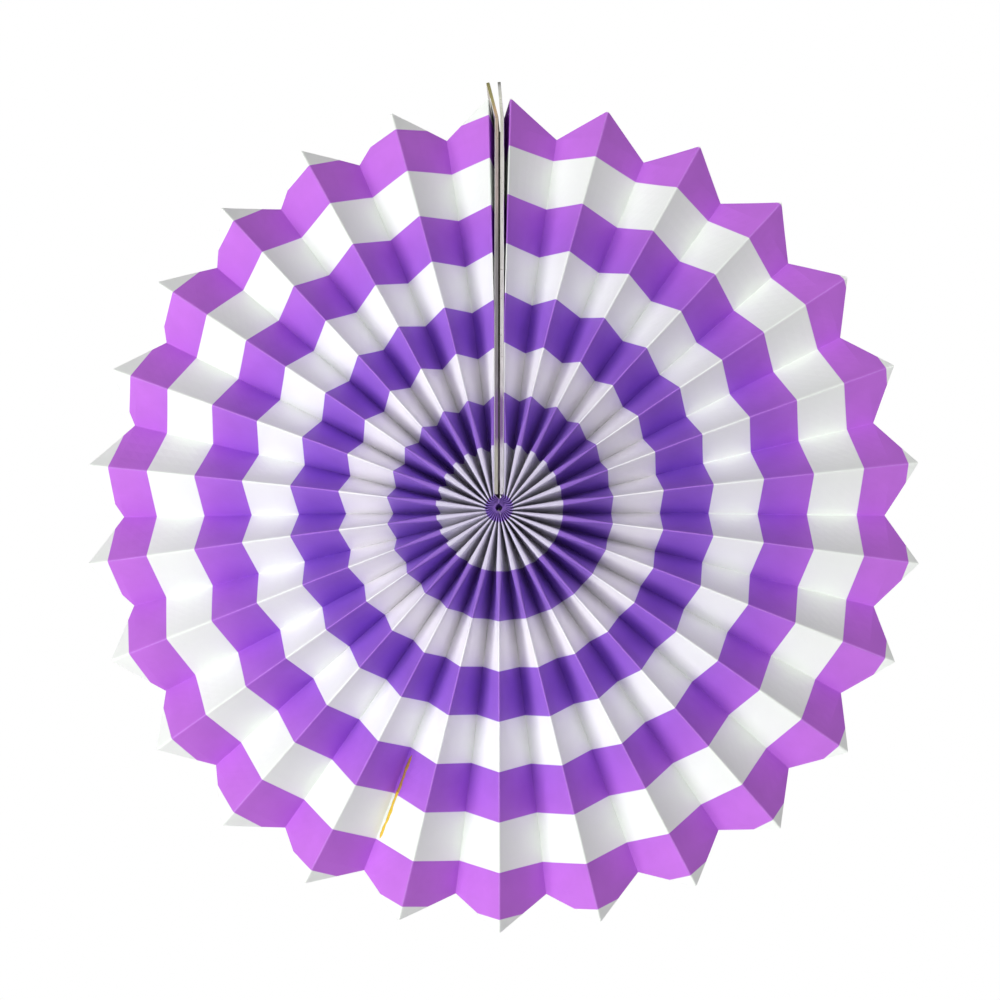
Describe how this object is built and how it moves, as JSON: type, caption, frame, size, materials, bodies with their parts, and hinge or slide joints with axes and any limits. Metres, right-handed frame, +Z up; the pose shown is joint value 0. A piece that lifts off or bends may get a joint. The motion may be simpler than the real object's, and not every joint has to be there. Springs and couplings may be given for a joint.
{
  "type": "paper fan rosette",
  "caption": "Hanging party decoration: a pleated paper strip opened into a full ringed disc with a zigzag edge, its ends closed by taped greyboard cards.",
  "frame": {"origin": "middle of the hub, halfway through the disc", "axes": "+Z up through the seam, as it hangs; +Y through the disc towards its plain back; the printed front faces -Y"},
  "size_m": [0.3978, 0.0361, 0.4092],
  "materials": {
    "printed_paper": "matte white paper printed with purple rings on its front",
    "greyboard": "matte uncoated greyboard",
    "foam_tape": "matte grey foam tape",
    "cotton_thread": "white twisted cotton",
    "dried_glue": "translucent yellow dried glue"
  },
  "bodies": {
    "root": {"pleated_paper": "printed_paper", "left_end_card": "greyboard", "right_end_card": "greyboard", "card_tape": "foam_tape", "hub_thread": "cotton_thread", "glue_line": "dried_glue"}
  },
  "joints": []
}
